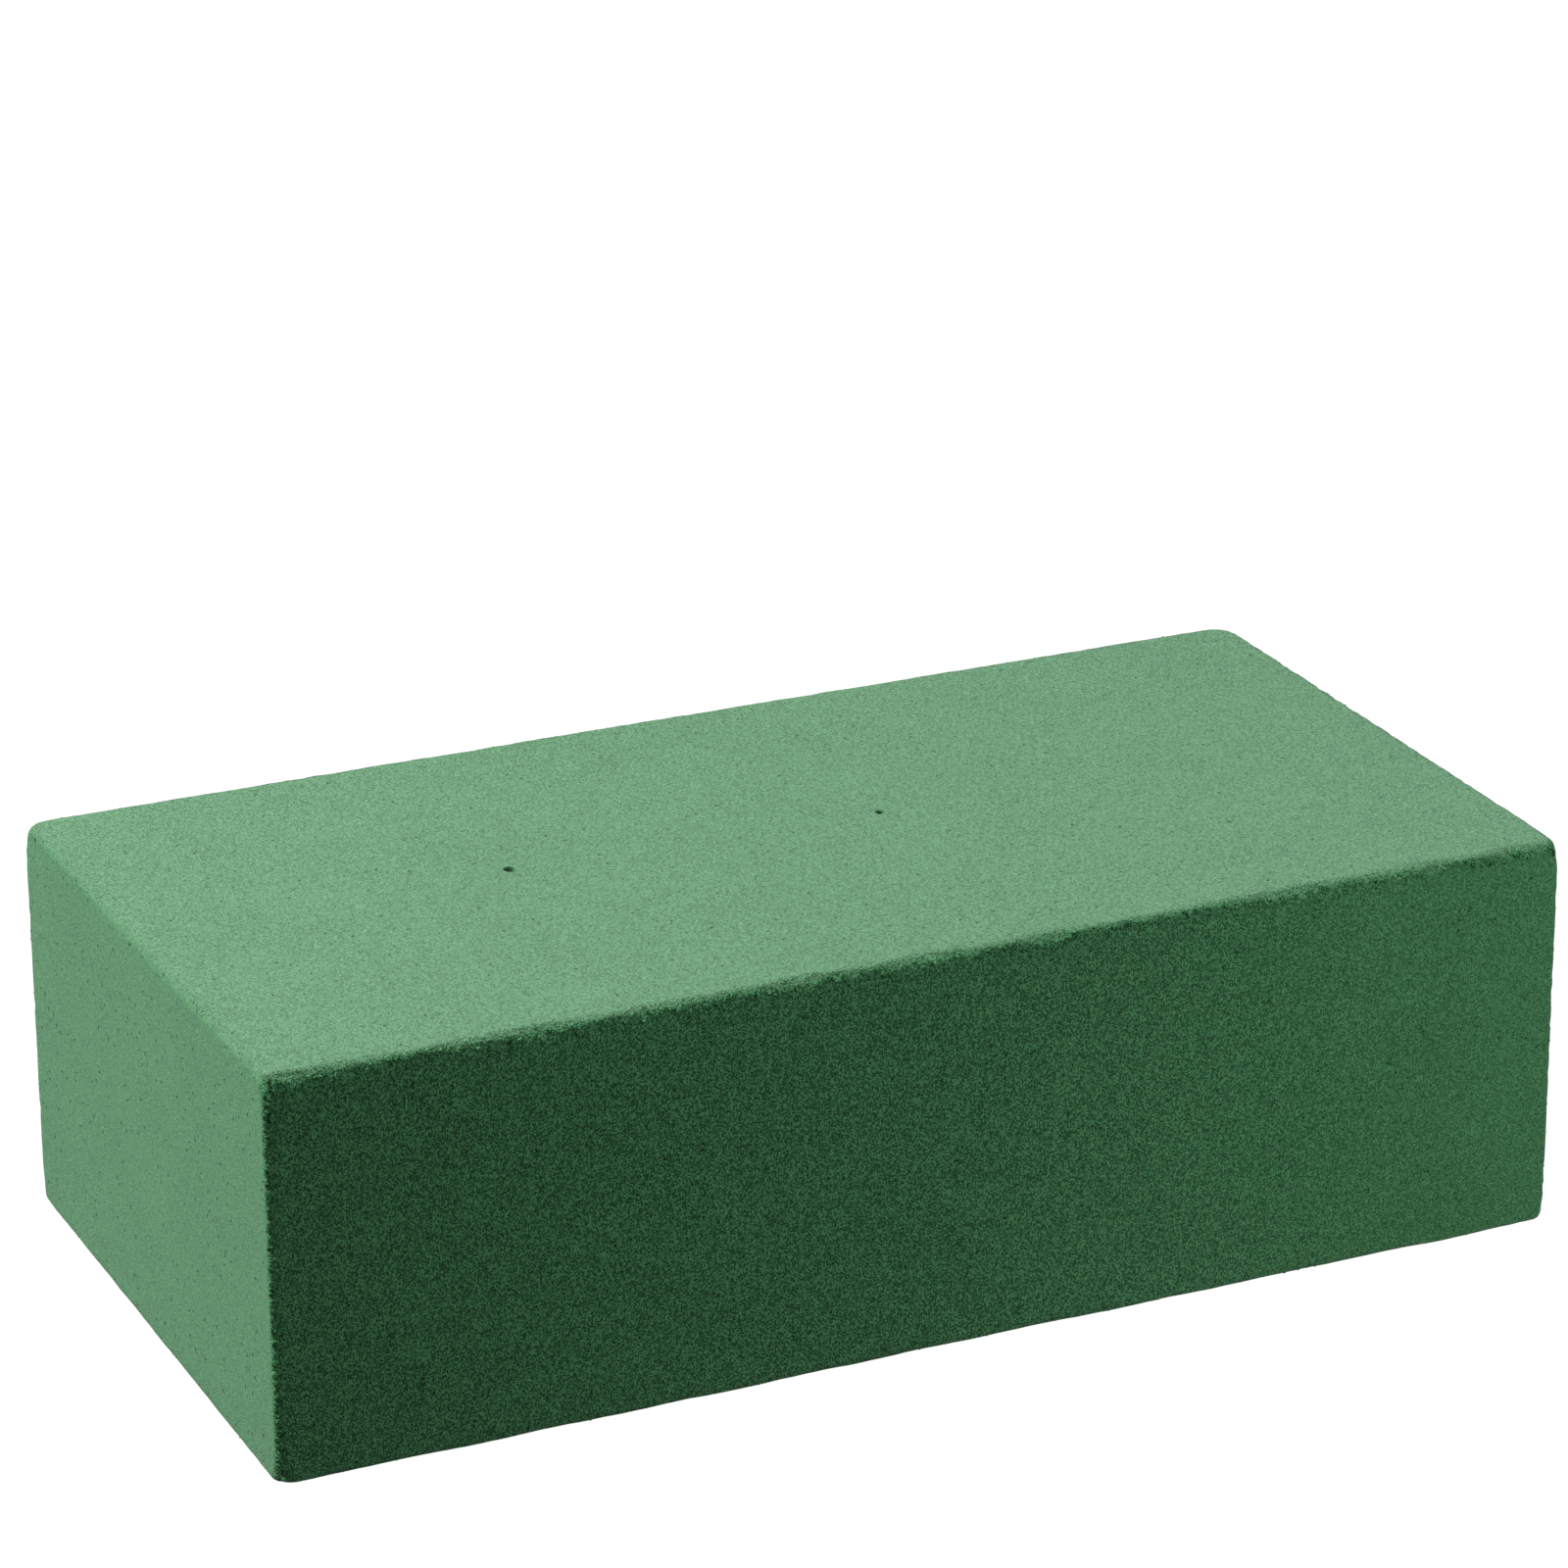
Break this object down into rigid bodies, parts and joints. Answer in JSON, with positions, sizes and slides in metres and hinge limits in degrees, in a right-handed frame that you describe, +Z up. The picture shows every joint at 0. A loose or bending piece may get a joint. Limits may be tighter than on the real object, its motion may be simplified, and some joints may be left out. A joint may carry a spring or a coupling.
{
  "type": "floral foam brick",
  "caption": "Rectangular block of green open-cell foam that holds pushed-in flower stems; lightly rubbed edges, two narrow blind stem holes in its top face.",
  "frame": {"origin": "middle of the bottom face, on the surface that the brick rests on", "axes": "+X along the length, towards the right end; +Y from the front face to the back face; +Z up, out of the face with the stem holes"},
  "size_m": [0.23, 0.118, 0.07],
  "materials": {
    "foam": "matte"
  },
  "bodies": {
    "root": {"foam_brick": "foam"}
  },
  "joints": []
}
